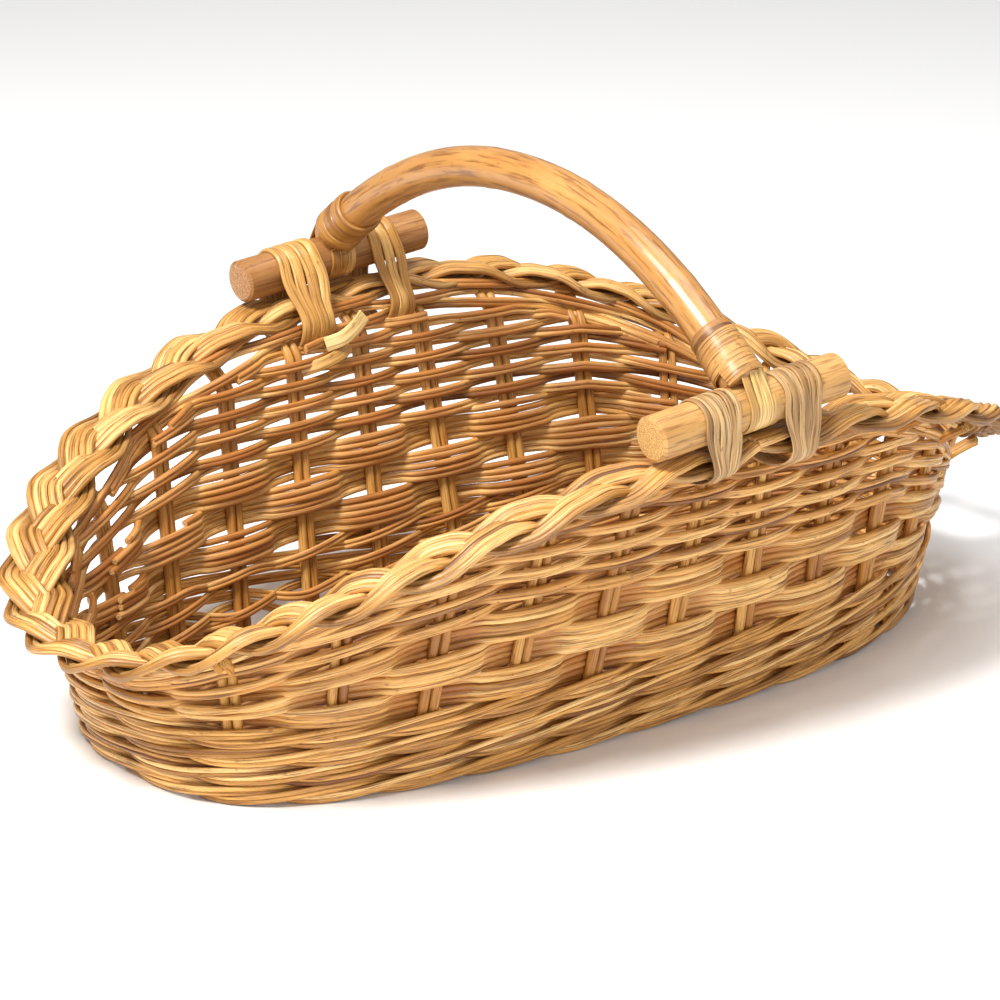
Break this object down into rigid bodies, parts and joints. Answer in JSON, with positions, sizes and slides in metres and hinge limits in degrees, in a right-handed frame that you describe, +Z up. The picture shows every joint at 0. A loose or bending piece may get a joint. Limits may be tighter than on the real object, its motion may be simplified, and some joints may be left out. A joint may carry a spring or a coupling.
{
  "type": "wicker basket",
  "caption": "Boat-shaped woven wicker basket, low at both ends and high at the sides, with a plaited border and a fixed bent pole handle lashed to two cross dowels.",
  "frame": {"origin": "bottom centre of the whole basket's bounding box, on the surface it stands on", "axes": "+X along the basket towards its pointed end, +Y across it along the handle's span, +Z up"},
  "size_m": [0.4626, 0.293, 0.2126],
  "materials": {
    "base": "dry unpainted wicker, satin",
    "stake": "peeled rattan rod, satin",
    "wale": "peeled rattan rod, clear-varnished, satin",
    "slew": "peeled rattan rod, clear-varnished, satin",
    "rand": "peeled rattan rod, clear-varnished, satin",
    "border": "peeled rattan rod, clear-varnished, satin",
    "dowel": "smooth wood dowel, satin",
    "handle": "bent rattan pole, clear-varnished, semi-gloss",
    "cane": "flat split cane, dry matte to satin"
  },
  "bodies": {
    "root": {"base_panel": "base", "stake_1": "stake", "stake_2": "stake", "stake_3": "stake", "stake_4": "stake", "stake_5": "stake", "stake_6": "stake", "stake_7": "stake", "stake_8": "stake", "stake_9": "stake", "stake_10": "stake", "stake_11": "stake", "stake_12": "stake", "stake_13": "stake", "stake_14": "stake", "stake_15": "stake", "stake_16": "stake", "stake_17": "stake", "stake_18": "stake", "stake_19": "stake", "stake_20": "stake", "stake_21": "stake", "stake_22": "stake", "stake_23": "stake", "stake_24": "stake", "stake_25": "stake", "stake_26": "stake", "wale_outer_lower": "wale", "wale_outer_upper": "wale", "wale_inner": "wale", "slew_course_1": "slew", "slew_course_2": "slew", "slew_course_3": "slew", "rand_course_1": "rand", "rand_course_2_front": "rand", "rand_course_2_back": "rand", "rand_course_3_front": "rand", "rand_course_3_back": "rand", "border_strand_1": "border", "border_strand_2": "border", "border_strand_3": "border", "handle_pole": "handle", "dowel_front": "dowel", "handle_sleeve_front": "cane", "cane_loop_front": "cane", "lashing_front_1": "cane", "lashing_front_2": "cane", "dowel_back": "dowel", "handle_sleeve_back": "cane", "cane_loop_back": "cane", "lashing_back_1": "cane", "lashing_back_2": "cane"}
  },
  "joints": []
}
